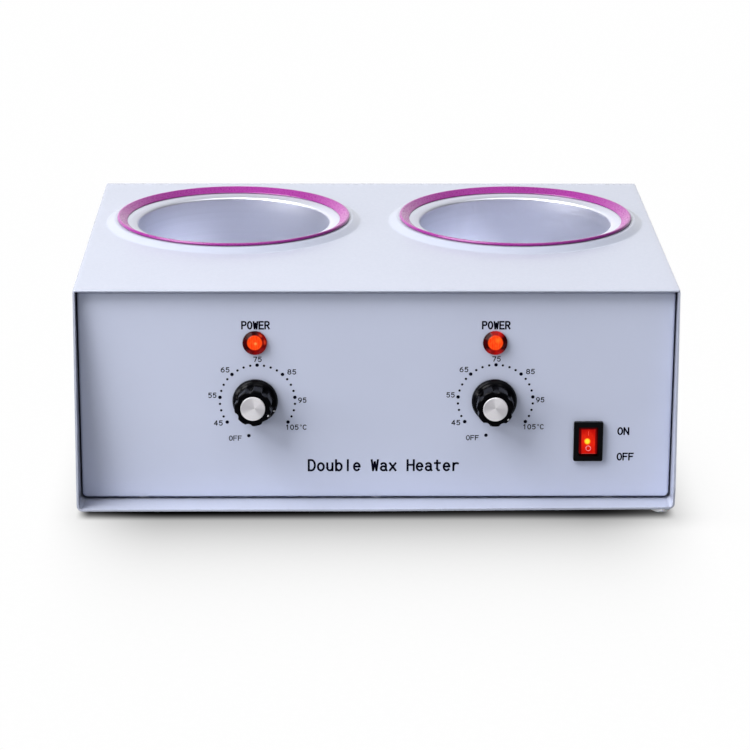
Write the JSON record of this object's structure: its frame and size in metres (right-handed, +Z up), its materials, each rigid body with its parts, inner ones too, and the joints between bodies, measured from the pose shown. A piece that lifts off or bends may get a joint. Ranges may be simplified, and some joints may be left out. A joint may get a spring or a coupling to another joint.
{
  "type": "wax warmer pot",
  "caption": "Salon wax warmer: folded sheet-metal box with lift-out round pots in purple rims on top, and temperature dials, pilot lamps and a rocker switch on its recessed front.",
  "frame": {"origin": "on the floor under the middle of the case, half way between its lower front edge and its rear edge", "axes": "+X to the right seen from the front, +Y to the back, +Z up"},
  "size_m": [0.309, 0.238, 0.12],
  "materials": {
    "case_paint": "fine satin powder coat, cool white",
    "panel_paint": "fine satin powder coat, pale blue-grey",
    "screw_steel": "zinc plated",
    "nylon": "natural nylon",
    "foot_rubber": "pale silicone",
    "pot_aluminium": "spun satin",
    "rim_plastic": "glossy purple",
    "well_aluminium": "spun",
    "band_steel": "rolled",
    "glass_wool": "needled mat",
    "thermostat_case": "moulded",
    "shaft_steel": "turned",
    "capillary_copper": "copper",
    "knob_black": "glossy black",
    "knob_disc": "turned face",
    "lamp_red": "clear red, lit",
    "socket_black": "moulded",
    "neon_glass": "lit",
    "fuse_ceramic": "unglazed",
    "switch_black": "moulded satin black",
    "rocker_red": "clear red, lit",
    "terminal_brass": "stamped",
    "wire_brown": "PVC sleeve",
    "wire_blue": "PVC sleeve",
    "wire_green": "PVC sleeve"
  },
  "bodies": {
    "root": {"lower_shell": "case_paint", "top_cover": "case_paint", "front_panel": "panel_paint", "rear_panel": "panel_paint", "cover_screws": "screw_steel", "panel_screws": "screw_steel", "panel_spacers": "nylon", "panel_nuts": "screw_steel", "feet": "foot_rubber", "left_heating_well": "well_aluminium", "right_heating_well": "well_aluminium", "left_heater_band": "band_steel", "right_heater_band": "band_steel", "band_clamp_screws": "screw_steel", "left_insulation": "glass_wool", "right_insulation": "glass_wool", "left_well_bracket": "band_steel", "right_well_bracket": "band_steel", "bracket_screws": "screw_steel", "bracket_nuts": "screw_steel", "well_nuts": "screw_steel", "left_thermostat_body": "thermostat_case", "right_thermostat_body": "thermostat_case", "thermostat_nuts": "screw_steel", "left_capillary_bulb": "capillary_copper", "right_capillary_bulb": "capillary_copper", "bulb_clips": "screw_steel", "left_lamp_lens": "lamp_red", "right_lamp_lens": "lamp_red", "lamp_sockets": "socket_black", "neon_bulbs": "neon_glass", "lamp_clips": "screw_steel", "thermal_fuses": "fuse_ceramic", "switch_housing": "switch_black", "switch_terminals": "terminal_brass", "mains_inlet": "socket_black", "inlet_pins": "terminal_brass", "inlet_screws": "screw_steel", "mains_wires": "wire_brown", "left_wires": "wire_blue", "right_wires": "wire_blue", "earth_wire": "wire_green"},
    "left_pot": {"left_inner_pot": "pot_aluminium", "left_pot_rim": "rim_plastic"},
    "right_pot": {"right_inner_pot": "pot_aluminium", "right_pot_rim": "rim_plastic"},
    "left_dial": {"left_thermostat_shaft": "shaft_steel", "left_knob": "knob_black", "left_knob_cap": "knob_disc", "left_knob_screw": "screw_steel"},
    "right_dial": {"right_thermostat_shaft": "shaft_steel", "right_knob": "knob_black", "right_knob_cap": "knob_disc", "right_knob_screw": "screw_steel"},
    "rocker": {"switch_rocker": "rocker_red"}
  },
  "joints": [
    {"name": "left_knob_turn", "type": "hinge", "parent": "root", "child": "left_dial", "pos_m": [-0.0618, -0.1035, 0.0567], "axis": [0, 1, 0], "range_deg": [-284, 16]},
    {"name": "right_knob_turn", "type": "hinge", "parent": "root", "child": "right_dial", "pos_m": [0.0602, -0.1035, 0.0567], "axis": [0, 1, 0], "range_deg": [-298, 2]},
    {"name": "rocker_tilt", "type": "hinge", "parent": "root", "child": "rocker", "pos_m": [0.1088, -0.1015, 0.0348], "axis": [1, 0, 0], "range_deg": [0, 18]},
    {"name": "left_pot_lift", "type": "slide", "parent": "root", "child": "left_pot", "axis": [0, 0, 1], "range_m": [0, 0.12]},
    {"name": "right_pot_lift", "type": "slide", "parent": "root", "child": "right_pot", "axis": [0, 0, 1], "range_m": [0, 0.12]}
  ]
}
